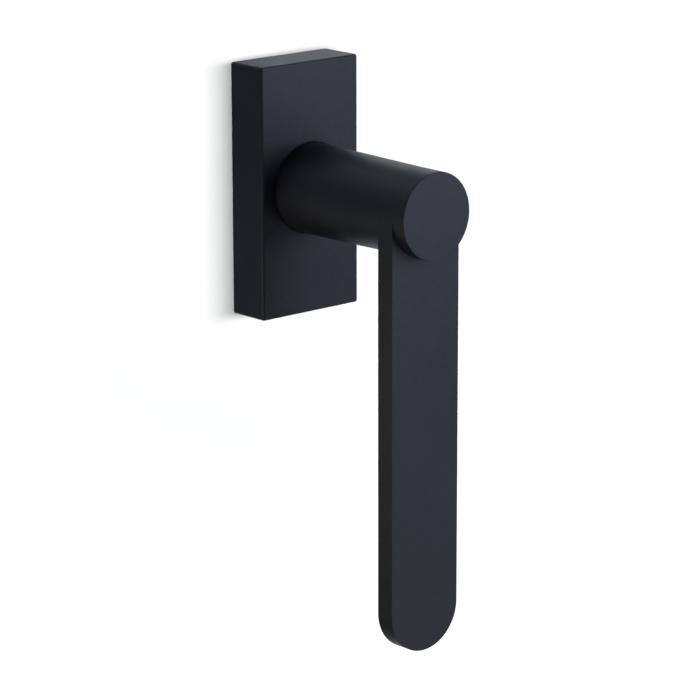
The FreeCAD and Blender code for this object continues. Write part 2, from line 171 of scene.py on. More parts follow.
def push(bm: BMesh, edges: Iterable[BMEdge], dy: float) -> list[BMEdge]:
    """Extrude a loop of edges along Y.

    Args:
        bm: The mesh with the loop.
        edges: The loop.
        dy: How far along Y it goes.

    Returns:
        The new loop's edges.
    """
    grown = bmesh.ops.extrude_edge_only(bm, edges=list(edges))["geom"]
    bmesh.ops.translate(bm, vec=(0, dy, 0), verts=[g for g in grown if isinstance(g, BMVert)])
    return [g for g in grown if isinstance(g, BMEdge)]


def fill(bm: BMesh, edges: Iterable[BMEdge]) -> None:
    """Fill a flat region that one or more closed loops of edges bound."""
    bmesh.ops.triangle_fill(bm, edges=list(edges), use_beauty=True)


def sink(bm: BMesh, rim: Iterable[BMEdge], outline: Sequence[Point], y: float, dy: float) -> None:
    """Fill a flat opening but for one outline in it, which is sunk into a closed pocket.

    Args:
        bm: The mesh with the opening.
        rim: The edges round the opening.
        outline: The pocket's (x, z) corners.
        y: The opening's plane.
        dy: How far along Y the pocket goes.
    """
    loop = outline_loop(bm, outline, y)
    fill(bm, list(rim) + loop)
    fill(bm, push(bm, loop, dy))


def circle_outline(radius: float, count: int, x: float = 0.0, z: float = 0.0) -> list[Point]:
    """Return (x, z) points round a circle."""
    turns = [math.tau * i / count for i in range(count)]
    return [(x + radius * math.cos(a), z + radius * math.sin(a)) for a in turns]


def box_shell(bm: BMesh, low: Sequence[float], high: Sequence[float]) -> list[BMEdge]:
    """Add a box between two corners.

    Args:
        bm: The mesh that receives the box.
        low: Its lowest corner.
        high: Its highest corner.

    Returns:
        The box's twelve edges.
    """
    size = [b - a for a, b in zip(low, high)]
    middle = [(a + b) / 2 for a, b in zip(low, high)]
    place = Matrix.Translation(middle) @ Matrix.Diagonal((*size, 1))
    verts = bmesh.ops.create_cube(bm, size=1.0, matrix=place)["verts"]
    return list({e for v in verts for e in v.link_edges})


def soften(bm: BMesh, edges: Iterable[BMEdge], radius: float, segments: int = 4) -> None:
    """Round edges and note the band that was rounded in the edge layer.

    Args:
        bm: The mesh.
        edges: The edges to round.
        radius: The fillet's radius.
        segments: How many facets the fillet has across it.
    """
    made = bmesh.ops.bevel(
        bm, geom=list(edges), offset=radius, offset_type="OFFSET", segments=segments,
        profile=0.5, affect="EDGES", material=-1, clamp_overlap=True,
    )
    layer = bm.verts.layers.float[EDGE_LAYER]
    band = set(made["faces"])
    for vert in made["verts"]:
        if all(face in band for face in vert.link_faces):
            vert[layer] = 1.0


def copied(node: str) -> BMesh:
    """Copy a CAD node's mesh with its loose triangles merged and its flat faces joined.

    Args:
        node: The node's name.

    Returns:
        The copy.
    """
    bm = fresh_mesh()
    bm.from_mesh(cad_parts[node].data)
    bmesh.ops.remove_doubles(bm, verts=bm.verts, dist=NEAR)
    bmesh.ops.dissolve_limit(
        bm, angle_limit=COPLANAR, use_dissolve_boundaries=False,
        verts=bm.verts, edges=bm.edges, delimit=set(),
    )
    return bm


def rims_at(bm: BMesh, y: float) -> list[BMEdge]:
    """Return the square edges of a mesh that lie in one plane across Y."""
    return [e for e in edges_where(bm, at_y(y)) if e.calc_face_angle(0.0) > SQUARE]


def sharpen(bm: BMesh, angle: float = 35.0) -> None:
    """Shade a mesh smooth, with a crease where its faces meet sharply.

    Args:
        bm: The mesh.
        angle: The smallest angle of a crease, in degrees.
    """
    limit = math.radians(angle)
    for face in bm.faces:
        face.smooth = True
    for edge in bm.edges:
        if len(edge.link_faces) == 2:
            edge.smooth = edge.calc_face_angle(0.0) < limit


def mesh_of(bm: BMesh, name: str) -> bpy.types.Mesh:
    """Turn a bmesh into a mesh.

    Args:
        bm: The finished bmesh, freed here.
        name: The mesh's name.

    Returns:
        The new mesh.
    """
    mesh = bpy.data.meshes.new(name)
    bm.to_mesh(mesh)
    bm.free()
    return mesh


def placed(name: str, data: bpy.types.ID) -> bpy.types.Object:
    """Put a mesh, a light or a camera into the scene.

    Args:
        name: The object's name.
        data: What the object holds.

    Returns:
        The new object.
    """
    obj = bpy.data.objects.new(name, data)
    bpy.context.scene.collection.objects.link(obj)
    return obj


def piece(bm: BMesh, node: str, body: Body, material: bpy.types.Material,
          name: str) -> bpy.types.Object:
    """Close a bmesh into a finished piece that stands for a CAD node.

    Args:
        bm: The finished mesh, freed here.
        node: The CAD node that the piece replaces.
        body: The body that it rides on.
        material: The finish.
        name: The piece's name.

    Returns:
        The new object.
    """
    bmesh.ops.remove_doubles(bm, verts=bm.verts, dist=MERGE)
    bmesh.ops.recalc_face_normals(bm, faces=bm.faces)
    sharpen(bm)
    open_edges = sum(1 for e in bm.edges if len(e.link_faces) != 2)
    mesh = mesh_of(bm, name)
    mesh.materials.append(material)
    obj = placed(name, mesh)
    even = obj.modifiers.new("even_shading", "WEIGHTED_NORMAL")
    even.keep_sharp = True
    even.weight = 100
    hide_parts(node)
    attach(obj, body.value)
    LOG.info("%s: %d faces, %d open edges", name, len(mesh.polygons), open_edges)
    return obj


def dress(nodes: Iterable[str], material: bpy.types.Material) -> None:
    """Give CAD nodes that keep their shape a finish.

    Args:
        nodes: The nodes' names.
        material: The finish.
    """
    for node in nodes:
        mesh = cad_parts[node].data
        mesh.materials.clear()
        mesh.materials.append(material)
        LOG.info("%s: dressed in %s", node, material.name)


# ---------------------------------------------------------------- finishes


class NodeBoard:
    """A node tree with short calls to add and join its nodes."""

    def __init__(self, tree: bpy.types.NodeTree) -> None:
        """Start on an empty tree."""
        self.tree = tree
        tree.nodes.clear()

    def add(self, kind: str, values: dict | None = None, **settings: object) -> bpy.types.Node:
        """Add a node.

        Args:
            kind: The node's type name.
            values: What each input, by name or number, holds or is joined to.
            settings: The node's own properties.

        Returns:
            The new node.
        """
        node = self.tree.nodes.new(kind)
        for key, value in settings.items():
            setattr(node, key, value)
        for key, value in (values or {}).items():
            if isinstance(value, bpy.types.NodeSocket):
                self.tree.links.new(value, node.inputs[key])
            else:
                node.inputs[key].default_value = value
        return node

    def math(self, operation: str, *values: object) -> bpy.types.NodeSocket:
        """Add a Math node and return its result."""
        return self.add("ShaderNodeMath", dict(enumerate(values)), operation=operation).outputs[0]

    def span(self, value: bpy.types.NodeSocket, low: float, high: float,
             start: float = 0.0, end: float = 1.0) -> bpy.types.NodeSocket:
        """Map a value from one range to another, clamped.

        Args:
            value: The value.
            low: The start of its range.
            high: The end of its range.
            start: What the range's start becomes.
            end: What the range's end becomes.

        Returns:
            The mapped value.
        """
        inputs = {"Value": value, "From Min": low, "From Max": high, "To Min": start, "To Max": end}
        return self.add("ShaderNodeMapRange", inputs).outputs[0]

    def blend(self, share: object, first: object, second: object,
              mode: str = "MIX") -> bpy.types.NodeSocket:
        """Mix two colours.

        Args:
            share: How much of the second there is.
            first: The colour at no share.
            second: The colour at full share.
            mode: The node's blend type.

        Returns:
            The mixed colour.
        """
        values = {MIX_SHARE: share, MIX_FIRST: first, MIX_SECOND: second}
        settings = {"data_type": "RGBA", "blend_type": mode, "clamp_factor": True}
        return self.add("ShaderNodeMix", values, **settings).outputs[MIX_RESULT]


def new_material(name: str) -> tuple[bpy.types.Material, NodeBoard]:
    """Start a material on an empty node tree.

    Args:
        name: The material's name.

    Returns:
        The material and the board of its tree.
    """
    material = bpy.data.materials.new(name)
    material.use_nodes = True
    return material, NodeBoard(material.node_tree)


class Effects:
    """The shader groups that more than one finish uses, each built once."""

    def __init__(self) -> None:
        """Build every group."""
        self.texture = self._texture()
        self.edge_line = self._edge_line()
        self.grain = self._grain()
        self.bloom = self._bloom()

    @staticmethod
    def _group(name: str, inputs: dict[str, float],
               outputs: Sequence[str]) -> tuple[NodeBoard, bpy.types.Node, bpy.types.Node]:
        """Start a group with float inputs and outputs.

        Args:
            name: The group's name.
            inputs: Each input's name and default.
            outputs: Each output's name.

        Returns:
            The board of the group's tree, its input node and its output node.
        """
        tree = bpy.data.node_groups.new(name, "ShaderNodeTree")
        for label, default in inputs.items():
            socket = tree.interface.new_socket(label, in_out="INPUT", socket_type="NodeSocketFloat")
            socket.default_value = default
        for label in outputs:
            tree.interface.new_socket(label, in_out="OUTPUT", socket_type="NodeSocketFloat")
        board = NodeBoard(tree)
        return board, board.add("NodeGroupInput"), board.add("NodeGroupOutput")

    def _texture(self) -> bpy.types.NodeTree:
        """Build the fine pebbled texture of a sprayed, cast or moulded skin.

        Returns:
            The group, which puts out a height and a speckle.
        """
        board, given, result = self._group(
            "fine_texture", {"Pebble": 2600.0, "Wave": 420.0, "Wave Share": 0.35},
            ("Height", "Speckle"),
        )
        where = board.add("ShaderNodeTexCoord").outputs["Object"]
        pebble = board.add("ShaderNodeTexNoise", {
            "Vector": where, "Scale": given.outputs["Pebble"], "Detail": 2.0, "Roughness": 0.55,
        }).outputs[0]
        wave = board.add("ShaderNodeTexNoise", {
            "Vector": where, "Scale": given.outputs["Wave"], "Detail": 1.0,
        }).outputs[0]
        height = board.math("MULTIPLY_ADD", wave, given.outputs["Wave Share"], pebble)
        board.tree.links.new(height, result.inputs["Height"])
        board.tree.links.new(board.span(pebble, 0.3, 0.7), result.inputs["Speckle"])
        return board.tree

    def _edge_line(self) -> bpy.types.NodeTree:
        """Build the mask of the rounded edges, uneven along their length, for a painted edge
        highlight and wear.

        Returns:
            The group, which puts out the mask.
        """
        board, given, result = self._group(
            "edge_line", {"Strength": 1.0, "Breakup": 0.4}, ("Mask",)
        )
        band = board.add("ShaderNodeAttribute", attribute_name=EDGE_LAYER).outputs["Fac"]
        where = board.add("ShaderNodeTexCoord").outputs["Object"]
        # Noise that breaks up the painted edge highlight and wear along the edges.
        edge_breakup = board.add("ShaderNodeTexNoise", {
            "Vector": where, "Scale": 260.0, "Detail": 3.0,
        }).outputs[0]
        kept = board.math("SUBTRACT", 1.0, board.math(
            "MULTIPLY", board.span(edge_breakup, 0.35, 0.65), given.outputs["Breakup"]))
        mask = board.math("MULTIPLY", board.math("MULTIPLY", band, kept), given.outputs["Strength"])
        board.tree.links.new(mask, result.inputs["Mask"])
        return board.tree

    def _grain(self) -> bpy.types.NodeTree:
        """Build fine drawn or ground lines, stretched along one axis by the three scales.

        Returns:
            The group, which puts out a height and a streak.
        """
        board, given, result = self._group(
            "metal_grain", {"Scale X": 900.0, "Scale Y": 40.0, "Scale Z": 900.0},
            ("Height", "Streak"),
        )
        where = board.add("ShaderNodeTexCoord").outputs["Object"]
        scale = board.add("ShaderNodeCombineXYZ", {
            i: given.outputs[f"Scale {axis}"] for i, axis in enumerate("XYZ")
        }).outputs[0]
        place = board.add("ShaderNodeMapping", {"Vector": where, "Scale": scale}).outputs[0]
        line = board.add("ShaderNodeTexNoise", {
            "Vector": place, "Scale": 1.0, "Detail": 4.0, "Roughness": 0.7,
        }).outputs[0]
        board.tree.links.new(line, result.inputs["Height"])
        board.tree.links.new(board.span(line, 0.3, 0.7), result.inputs["Streak"])
        return board.tree

    def _bloom(self) -> bpy.types.NodeTree:
        """Build slow clouds over a part, for handling marks, plating tone and settled dust.

        Returns:
            The group, which puts out a cloud and the dust on faces that look up.
        """
        board, given, result = self._group(
            "clouds", {"Scale": 60.0, "Low": 0.4, "High": 0.65}, ("Cloud", "Dust")
        )
        where = board.add("ShaderNodeTexCoord").outputs["Object"]
        noise = board.add("ShaderNodeTexNoise", {
            "Vector": where, "Scale": given.outputs["Scale"], "Detail": 4.0, "Roughness": 0.6,
            "Distortion": 0.4,
        }).outputs[0]
        cloud = board.add("ShaderNodeMapRange", {
            "Value": noise, "From Min": given.outputs["Low"], "From Max": given.outputs["High"],
        }).outputs[0]
        up = board.add("ShaderNodeSeparateXYZ", {
            0: board.add("ShaderNodeNewGeometry").outputs["Normal"],
        }).outputs[2]
        dust = board.math("MULTIPLY", board.span(up, 0.6, 1.0), cloud)
        board.tree.links.new(cloud, result.inputs["Cloud"])
        board.tree.links.new(dust, result.inputs["Dust"])
        return board.tree


@dataclass(frozen=True)
class Finish:
    """What every finish has: a name, a colour range, a roughness range and a skin."""

    name: str
    colour: Colour
    colour_alt: Colour
    rough: tuple[float, float]
    metallic: float = 0.0
    specular: float = 0.5
    pebble: float = 2600.0
    wave: float = 420.0
    bump: float = 0.1
    bump_depth: float = 0.02 * MM
    cloud_scale: float = 60.0
    dust: float = 0.0
    mottle: Colour | None = None
    mottle_scale: float = 420.0
    mottle_range: tuple[float, float] = (0.38, 0.62)
    # A lighter colour on the rounded edges: partly edge wear, partly a painted highlight.
    edge_highlight_colour: Colour | None = None
    edge_rough: float = 0.0
    grain: tuple[float, float, float] | None = None
    streak_share: float = 0.7
    fleck_share: float = 0.3
    cloud_share: float = 0.5
    dust_colour: Colour = (0.32, 0.31, 0.30)
    dust_rough: float = 0.3

    def make(self, effects: Effects) -> bpy.types.Material:
        """Build the material.

        Args:
            effects: The shared shader groups.

        Returns:
            The finished material.
        """
        material, board = new_material(self.name)
        skin = board.add("ShaderNodeGroup", node_tree=effects.texture)
        skin.inputs["Pebble"].default_value = self.pebble
        skin.inputs["Wave"].default_value = self.wave
        clouds = board.add("ShaderNodeGroup", {"Scale": self.cloud_scale}, node_tree=effects.bloom)
        fleck, height = skin.outputs["Speckle"], skin.outputs["Height"]
        if self.grain:
            lines = board.add("ShaderNodeGroup", {
                f"Scale {axis}": size for axis, size in zip("XYZ", self.grain)
            }, node_tree=effects.grain)
            fleck = board.math("MULTIPLY_ADD", lines.outputs["Streak"], self.streak_share,
                               board.math("MULTIPLY", fleck, self.fleck_share))
            height = board.math("ADD", board.math("MULTIPLY", height, self.fleck_share),
                                lines.outputs["Height"])
        tone = board.math("MULTIPLY_ADD", clouds.outputs["Cloud"], self.cloud_share,
                          board.math("MULTIPLY", fleck, 1.0 - self.cloud_share))
        colour = board.blend(tone, (*self.colour, 1), (*self.colour_alt, 1))
        if self.mottle:
            low, high = self.mottle_range
            patch = board.add("ShaderNodeGroup", {
                "Scale": self.mottle_scale, "Low": low, "High": high,
            }, node_tree=effects.bloom).outputs["Cloud"]
            colour = board.blend(patch, colour, (*self.mottle, 1), mode="MULTIPLY")
        rough = board.span(tone, 0.0, 1.0, *self.rough)
        # Painted highlight along the rounded edges, partly edge wear: the edge band takes the
        # lighter colour.
        if self.edge_highlight_colour:
            edge = board.add("ShaderNodeGroup", node_tree=effects.edge_line).outputs["Mask"]
            colour = board.blend(edge, colour, (*self.edge_highlight_colour, 1))
            rough = board.math("ADD", rough, board.math("MULTIPLY", edge, self.edge_rough))
        if self.dust:
            settled = board.math("MULTIPLY", clouds.outputs["Dust"], self.dust)
            colour = board.blend(settled, colour, (*self.dust_colour, 1))
            rough = board.math("ADD", rough, board.math("MULTIPLY", settled, self.dust_rough))
        bump = board.add("ShaderNodeBump", {
            "Strength": self.bump, "Distance": self.bump_depth, "Height": height,
        }).outputs[0]
        shader = board.add("ShaderNodeBsdfPrincipled", {
            "Base Color": colour, "Roughness": rough, "Metallic": self.metallic,
            "Specular IOR Level": self.specular, "Normal": bump,
        })
        board.add("ShaderNodeOutputMaterial", {"Surface": shader.outputs[0]})
        return material


# The edge colours below are partly edge wear and partly a painted highlight on the rounded edges.
COAT = Finish(
    "black_powder_coat", (0.0080, 0.0116, 0.0180), (0.0260, 0.0312, 0.0370), (0.44, 0.58),
    pebble=1700.0, wave=500.0, bump=0.40, cloud_scale=45.0, dust=0.02,
    mottle=(1.15, 0.88, 0.95), edge_highlight_colour=(0.023, 0.026, 0.031), edge_rough=-0.04,
)
CASTING = Finish(
    "cast_zinc", (0.36, 0.365, 0.37), (0.46, 0.465, 0.47), (0.42, 0.56), metallic=1.0,
    pebble=1500.0, wave=260.0, bump=0.35, bump_depth=0.05 * MM, cloud_scale=90.0,
    edge_highlight_colour=(0.60, 0.60, 0.61), edge_rough=-0.12,
)
SHEET = Finish(
    "bright_zinc_sheet", (0.52, 0.54, 0.57), (0.62, 0.62, 0.58), (0.36, 0.48), metallic=1.0,
    bump=0.08, cloud_scale=120.0, grain=(900.0, 900.0, 60.0), edge_highlight_colour=(0.70, 0.70, 0.70),
)
PLATED = Finish(
    "bright_zinc_steel", (0.54, 0.56, 0.59), (0.65, 0.64, 0.58), (0.30, 0.42), metallic=1.0,
    bump=0.06, cloud_scale=140.0, grain=(1100.0, 50.0, 1100.0), edge_highlight_colour=(0.72, 0.72, 0.72),
)
SPRING = Finish(
    "tempered_spring", (0.30, 0.31, 0.33), (0.40, 0.39, 0.38), (0.26, 0.38), metallic=1.0,
    bump=0.12, grain=(900.0, 900.0, 50.0),
)
CAM = Finish(
    "sintered_steel", (0.26, 0.26, 0.27), (0.36, 0.35, 0.35), (0.45, 0.62), metallic=1.0,
    pebble=2200.0, bump=0.3, bump_depth=0.03 * MM,
)
BRIGHT = Finish(
    "ground_steel", (0.52, 0.53, 0.54), (0.62, 0.62, 0.62), (0.16, 0.28), metallic=1.0,
    bump=0.08, grain=(60.0, 1000.0, 1000.0),
)
BLACKENED = Finish(
    "oiled_black_steel", (0.030, 0.031, 0.033), (0.055, 0.055, 0.058), (0.36, 0.5),
    metallic=0.6, pebble=1800.0, bump=0.15,
)
BUSH = Finish(
    "moulded_white", (0.70, 0.70, 0.68), (0.76, 0.76, 0.74), (0.34, 0.44), bump=0.06,
)
LUG = Finish(
    "moulded_black", (0.018, 0.018, 0.019), (0.026, 0.026, 0.027), (0.36, 0.46), bump=0.1,
    pebble=1900.0,
)


# ---------------------------------------------------------------- sub-assemblies


@dataclass
class Rose:
    """The rectangular rose: cover, base casting, bearing, detent and fixings."""

    cover_low: Vector
    cover_high: Vector
    wall: float = 1.5 * MM
    edge: float = 0.7 * MM
    inner_corner: float = 0.8 * MM
    hole_radius: float = 12.7 * MM
    hole_edge: float = 0.12 * MM
    casting_edge: float = 0.22 * MM
    sheet_edge: float = 0.12 * MM
    screw_pitch: float = 0.8 * MM
    thread_depth: float = 0.6134
    thread_marks: tuple[float, float, float] = (0.25, 0.5625, 0.6875)
    lead_turns: int = 2
    run_out_slope: float = 0.4
    screw_radius: float = 2.5 * MM
    shank_radius: float = 2.2 * MM
    head_radius: float = 4.6 * MM
    head_rim: float = 0.3 * MM
    screw_spacing: float = 43.0 * MM
    thread_start: float = 3.0 * MM
    shank_overlap: float = 0.2 * MM
    tip_length: float = 0.8 * MM
    tip_radius: float = 1.8 * MM
    recess_depth: float = 2.0 * MM
    recess_span: float = 2.5 * MM
    recess_half: float = 0.55 * MM
    round_steps: int = 144
    thread_steps: int = 36

    def build_cover(self, finish: bpy.types.Material) -> bpy.types.Object:
        """Model the cover: a thin shell with rounded edges and a hole for the neck.

        Args:
            finish: Its material.

        Returns:
            The finished piece.
        """
        bm = fresh_mesh()
        front, rim = self.cover_low.y, self.cover_high.y
        inner_front = front + self.wall
        edges = box_shell(bm, self.cover_low, self.cover_high)
        soften(bm, edges_where(bm, at_y(front)) + along_y(edges), self.edge, segments=6)
        step = Vector((self.wall, 0, self.wall))
        inner = fresh_mesh()
        inner_low = self.cover_low + step
        inner_low.y = inner_front
        edges = box_shell(inner, inner_low, self.cover_high - step)
        bmesh.ops.bevel(
            inner, geom=along_y(edges), offset=self.inner_corner, segments=4, profile=0.5,
            affect="EDGES", material=-1,
        )
        spare = mesh_of(inner, "inner_shell")
        bm.from_mesh(spare)
        bpy.data.meshes.remove(spare)
        quarter = self.cover_high.x * self.cover_high.z
        ends = [f for f in bm.faces if len(f.verts) > 3 and abs(f.normal.y) > ACROSS
                and f.calc_area() > quarter / 2]
        bmesh.ops.delete(bm, geom=ends, context="FACES_ONLY")
        fill(bm, edges_where(bm, at_y(rim), open_only=True))
        outline = circle_outline(self.hole_radius, self.round_steps)
        mouth = outline_loop(bm, outline, front)
        fill(bm, edges_where(bm, at_y(front), open_only=True))
        push(bm, mouth, self.wall)
        fill(bm, edges_where(bm, at_y(inner_front), open_only=True))
        soften(bm, ring_at(bm, front, self.hole_radius), self.hole_edge, segments=2)
        return piece(bm, "rose_cover", Body.ROSE, finish, "rose_cover_shell")

    def build_base(self, finish: bpy.types.Material) -> bpy.types.Object:
        """Model the base casting with the soft edges that a die leaves.

        Args:
            finish: Its material.

        Returns:
            The finished piece.
        """
        bm = copied("base_plate")
        soften(bm, rims_at(bm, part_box("base_plate")[1].y), self.casting_edge, segments=3)
        return piece(bm, "base_plate", Body.ROSE, finish, "base_casting")

    def build_plate(self, finish: bpy.types.Material) -> bpy.types.Object:
        """Model the retaining plate with the rolled edge that blanking leaves.

        Args:
            finish: Its material.

        Returns:
            The finished piece.
        """
        bm = copied("retaining_plate")
        soften(bm, rims_at(bm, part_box("retaining_plate")[1].y), self.sheet_edge, segments=2)
        return piece(bm, "retaining_plate", Body.ROSE, finish, "blanked_plate")

    def _thread(self, bm: BMesh, start: float, end: float) -> None:
        """Add a helical thread that runs out at its start and is chamfered at its tip.

        Args:
            bm: The mesh that receives the thread.
            start: Where the thread begins on Y.
            end: Where the screw ends on Y.
        """
        pitch, crest = self.screw_pitch, self.screw_radius
        root = crest - self.thread_depth * pitch
        rise, top, fall = self.thread_marks
        shape = [(root, 0.0), (root, rise), (crest, top), (crest, fall), (root, 1.0)]
        base = start - self.lead_turns * pitch
        verts = [bm.verts.new((radius, base + share * pitch, 0.0)) for radius, share in shape]
        edges = [bm.edges.new(pair) for pair in zip(verts, verts[1:])]
        turns = math.ceil((end - start) / pitch) + self.lead_turns + 1
        bmesh.ops.spin(
            bm, geom=verts + edges, cent=(0, 0, 0), axis=(0, 1, 0), angle=math.tau * turns,
            steps=self.thread_steps * turns, dvec=(0, pitch / self.thread_steps, 0),
        )
        bmesh.ops.remove_doubles(bm, verts=bm.verts, dist=MERGE)
        for y, clear in ((start, "clear_inner"), (end, "clear_outer")):
            bmesh.ops.bisect_plane(
                bm, geom=list(bm.verts) + list(bm.edges) + list(bm.faces), dist=MERGE,
                plane_co=(0, y, 0), plane_no=(0, 1, 0), **{clear: True},
            )
            fill(bm, edges_where(bm, at_y(y), open_only=True))
        for vert in bm.verts:
            run_out = self.shank_radius + self.run_out_slope * (vert.co.y - start)
            chamfer = self.tip_radius + (end - vert.co.y) * (
                (crest - self.tip_radius) / self.tip_length)
            limit = min(run_out, chamfer, crest)
            if radius_of(vert) > limit:
                bmesh.ops.scale(bm, vec=(limit / radius_of(vert), 1, limit / radius_of(vert)),
                                verts=[vert])

    def _screw(self, front: float, end: float) -> bpy.types.Mesh:
        """Model one countersunk screw on the Y axis.

        Args:
            front: The face of its head on Y.
            end: Its tip on Y.

        Returns:
            The mesh of the whole screw.
        """
        bm = fresh_mesh()
        self._thread(bm, self.thread_start, end)
        cone_start = front + self.head_rim
        cone_end = cone_start + self.head_radius - self.shank_radius
        shank_end = self.thread_start + self.shank_overlap
        turned(bm, [
            (self.head_radius, front), (self.head_radius, cone_start),
            (self.shank_radius, cone_end), (self.shank_radius, shank_end), (0.0, shank_end),
        ], self.thread_steps)
        span, half = self.recess_span, self.recess_half
        quarter = [(span, -half), (span, half), (half, half)]
        cross = [(x * c - z * s, x * s + z * c)
                 for c, s in ((1, 0), (0, 1), (-1, 0), (0, -1)) for x, z in quarter]
        rim = edges_where(bm, at_y(front), open_only=True)
        sink(bm, rim, cross, front, self.recess_depth)
        return mesh_of(bm, "screw_blank")

    def build_screws(self, finish: bpy.types.Material) -> bpy.types.Object:
        """Model the two fixing screws, with their threads.

        Args:
            finish: Their material.

        Returns:
            The finished piece.
        """
        low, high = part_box("fixing_screws")
        blank = self._screw(low.y, high.y)
        bm = fresh_mesh()
        for side in (-1, 1):
            known = set(bm.verts)
            bm.from_mesh(blank)
            bmesh.ops.translate(
                bm, vec=(0, 0, side * self.screw_spacing / 2),
                verts=[v for v in bm.verts if v not in known],
            )
        bpy.data.meshes.remove(blank)
        return piece(bm, "fixing_screws", Body.ROSE, finish, "threaded_screws")

    def dress_inner(self, make: Callable[[Finish], bpy.types.Material]) -> None:
        """Give the parts behind the cover that keep their CAD shape a finish.

        Args:
            make: Gives the material of a finish.
        """
        dress(["neck_bush"], make(BUSH))
        dress(["retaining_plate_screws"], make(SHEET))
        dress(["support_lug_upper", "support_lug_lower"], make(LUG))
        dress(["detent_spring_left", "detent_spring_right", "cover_clip_upper",
               "cover_clip_lower"], make(SPRING))


@dataclass
class Lever:
    """The lever: neck with its disc, flat blade, and what turns with them."""

    neck_low: Vector
    neck_high: Vector
    blade_low: Vector
    blade_high: Vector
    gap: float = 0.02 * MM
    edge: float = 0.3 * MM
    blade_edge: float = 0.5 * MM
    rose_front: float = -12.7 * MM
    shoulder: float = -10.95 * MM
    journal_radius: float = 7.5 * MM
    flat: float = 6.25 * MM
    flat_start: float = -7.6 * MM
    flat_step: float = 0.01 * MM
    groove_radius: float = 7.15 * MM
    groove: tuple[float, float] = (-1.75 * MM, -0.65 * MM)
    bore_half: float = 3.53 * MM
    bore_end: float = -42.0 * MM
    grub_radius: float = 3.02 * MM
    tenon: float = 6.0 * MM
    dog_radius: float = 2.1 * MM
    dog_depth: float = 2.4 * MM
    dog_steps: int = 48
    bar_edge: float = 0.35 * MM
    bar_corner: float = 2.0 * MM
    round_steps: int = 192

    @property
    def disc_radius(self) -> float:
        """The radius of the disc, which is half the blade's width."""
        return self.blade_high.x

    def build_neck(self, finish: bpy.types.Material) -> bpy.types.Object:
        """Model the neck, with its drafted barrel, blade slot, journal and square bore.

        Args:
            finish: Its material.

        Returns:
            The finished piece.
        """
        bm = fresh_mesh()
        slot_front, slot_rear = self.blade_low.y - self.gap, self.blade_high.y + self.gap
        front, end = self.neck_low.y, self.neck_high.y
        disc, root, journal = self.disc_radius, self.neck_high.x, self.journal_radius
        turned(bm, [
            (0.0, front), (disc, front), (disc, slot_front), (disc, slot_rear),
            (root, self.rose_front), (root, self.shoulder), (journal, self.shoulder),
            (journal, self.flat_start), (journal, self.flat_start + self.flat_step),
            (journal, self.groove[0]), (self.groove_radius, self.groove[0]),
            (self.groove_radius, self.groove[1]), (journal, self.groove[1]), (journal, end),
            (self.bore_half, end), (self.bore_half, self.bore_end),
            (self.grub_radius, self.bore_end), (self.grub_radius, slot_rear),
        ], self.round_steps)
        self._square_bore(bm)
        self._cut_slot(bm, slot_front, slot_rear)
        soften(bm, ring_at(bm, front, disc), self.edge, segments=5)
        return piece(bm, "lever_neck", Body.HANDLE, finish, "lever_neck_disc")

    def _square_bore(self, bm: BMesh) -> None:
        """Square the bore's rings and flatten the journal's two sides.

        Args:
            bm: The turned neck.
        """
        for vert in bm.verts:
            if abs(radius_of(vert) - self.bore_half) < NEAR:
                reach = self.bore_half / max(abs(vert.co.x), abs(vert.co.z))
                bmesh.ops.scale(bm, vec=(reach, 1, reach), verts=[vert])
            elif vert.co.y > self.flat_start + NEAR and abs(vert.co.x) > self.flat:
                bmesh.ops.scale(bm, vec=(self.flat / abs(vert.co.x), 1, 1), verts=[vert])

    def _cut_slot(self, bm: BMesh, front: float, rear: float) -> None:
        """Open the slot for the blade below the axis and the mortise for its tenon above it.

        Args:
            bm: The turned neck.
            front: The slot's front wall on Y.
            rear: The slot's rear wall on Y.
        """
        disc, half, top = self.disc_radius, self.tenon + self.gap, self.blade_high.z + self.gap
        below = [f for f in bm.faces
                 if f.calc_center_median().z < 0 and all(
                     front - NEAR < v.co.y < rear + NEAR and radius_of(v) > disc - NEAR
                     for v in f.verts)]
        bmesh.ops.delete(bm, geom=below, context="FACES")
        ceiling = [(-disc, 0.0), (-half, 0.0), (-half, top), (half, top), (half, 0.0), (disc, 0.0)]
        verts = [bm.verts.new((x, front, z)) for x, z in ceiling]
        edges = [bm.edges.new(pair) for pair in zip(verts, verts[1:])]
        push(bm, edges, rear - front)
        bmesh.ops.remove_doubles(bm, verts=bm.verts, dist=NEAR)
        for y in (front, rear):
            fill(bm, edges_where(bm, at_y(y), open_only=True))

    def build_blade(self, finish: bpy.types.Material) -> bpy.types.Object:
        """Model the flat blade with its full-radius end, soft rims and tenon.

        Args:
            finish: Its material.

        Returns:
            The finished piece.
        """
        bm = fresh_mesh()
        front, rear = self.blade_low.y, self.blade_high.y
        half, top = self.blade_high.x, self.blade_high.z
        centre = self.blade_low.z + half
        arc = [(x, z) for x, z in circle_outline(half, self.round_steps, z=centre)
               if z < centre + NEAR]
        arc.sort(key=lambda point: point[0])
        outline = arc + [(half, 0.0), (self.tenon, 0.0), (self.tenon, top),
                         (-self.tenon, top), (-self.tenon, 0.0), (-half, 0.0)]
        loop = outline_loop(bm, outline, front)
        rear_loop = push(bm, loop, rear - front)
        bmesh.ops.contextual_create(bm, geom=loop)
        dog = circle_outline(self.dog_radius, self.dog_steps)
        sink(bm, rear_loop, dog, rear, -self.dog_depth)
        bm.normal_update()
        rims = [e for y in (front, rear) for e in edges_where(bm, at_y(y))
                if min(v.co.z for v in e.verts) < -NEAR and e.calc_face_angle(0.0) > SQUARE
                and all(radius_of(v) > self.dog_radius + NEAR for v in e.verts)]
        soften(bm, rims, self.blade_edge, segments=5)
        return piece(bm, "lever_blade", Body.HANDLE, finish, "lever_blade_paddle")

